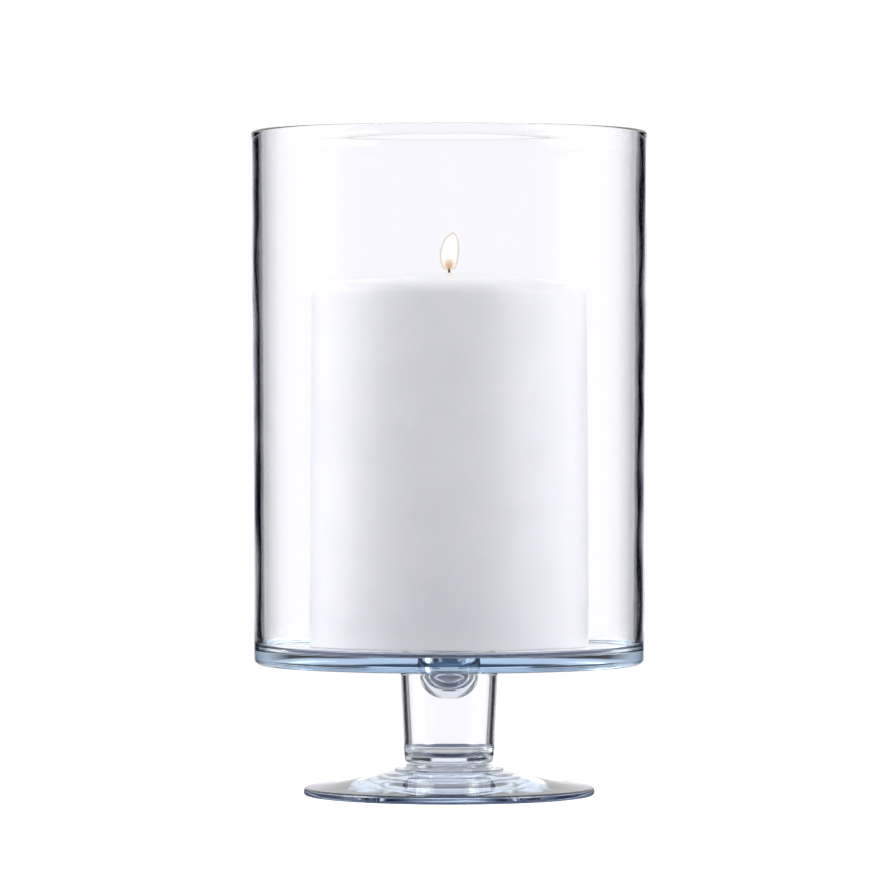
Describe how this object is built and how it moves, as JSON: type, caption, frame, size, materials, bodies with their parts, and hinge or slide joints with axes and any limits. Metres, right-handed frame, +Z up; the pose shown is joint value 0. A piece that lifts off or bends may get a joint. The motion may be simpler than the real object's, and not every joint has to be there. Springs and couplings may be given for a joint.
{
  "type": "hurricane candle lantern",
  "caption": "Clear glass cylinder on a hollow stem and a domed foot, with a lift-out pillar candle standing on its thick floor.",
  "frame": {"origin": "centre of the foot's resting ring, on the table", "axes": "+Z up along the axis that every piece is turned about; +X and +Y are free choices"},
  "size_m": [0.152, 0.152, 0.254],
  "materials": {
    "vessel_glass": "fire-polished clear glass",
    "stem_glass": "polished clear glass",
    "foot_glass": "polished clear glass",
    "pressed_wax": "matt pressed wax",
    "coat_wax": "smooth satin white wax",
    "charred_cotton": "charred braided cotton",
    "tinned_steel": "bright tinned sheet"
  },
  "bodies": {
    "glassware": {"vessel": "vessel_glass", "stem": "stem_glass", "joining_wafer": "stem_glass", "foot": "foot_glass"},
    "candle": {"candle_core": "pressed_wax", "candle_overdip": "coat_wax", "wick": "charred_cotton", "wick_sustainer": "tinned_steel"}
  },
  "joints": [
    {"name": "candle_lift", "type": "slide", "parent": "glassware", "child": "candle", "axis": [0, 0, 1], "range_m": [0, 0.205]}
  ]
}
